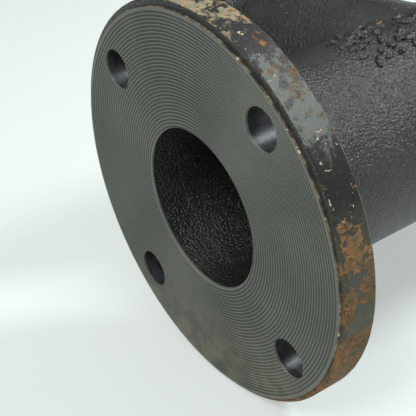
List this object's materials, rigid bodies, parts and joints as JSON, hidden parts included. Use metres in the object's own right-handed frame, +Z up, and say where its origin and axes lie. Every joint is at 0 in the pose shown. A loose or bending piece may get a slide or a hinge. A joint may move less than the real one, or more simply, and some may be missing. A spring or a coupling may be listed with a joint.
{
  "type": "flanged pipe tee",
  "caption": "Cast iron pipe tee with flat turned faces on its end flanges, for joining a side branch to a straight pipe run.",
  "frame": {"origin": "centre of the near flange's face, on the bore's axis", "axes": "+X along the run into the body, +Y towards the branch, +Z up with all three pipe axes level"},
  "size_m": [0.2794, 0.235, 0.1906],
  "materials": {
    "cast_plate": "black paint, chipped, with rust",
    "turned_face": "turned and oiled, fine concentric grooves",
    "cast_body": "black paint over a rough sand casting"
  },
  "bodies": {
    "root": {"near_flange": "cast_plate", "near_facing": "turned_face", "near_hub": "cast_body", "near_barrel": "cast_body", "far_flange": "cast_plate", "far_facing": "turned_face", "far_hub": "cast_body", "far_barrel": "cast_body", "branch_flange": "cast_plate", "branch_facing": "turned_face", "branch_hub": "cast_body", "branch_barrel": "cast_body", "tee_body": "cast_body", "casting_marks": "cast_body"}
  },
  "joints": []
}
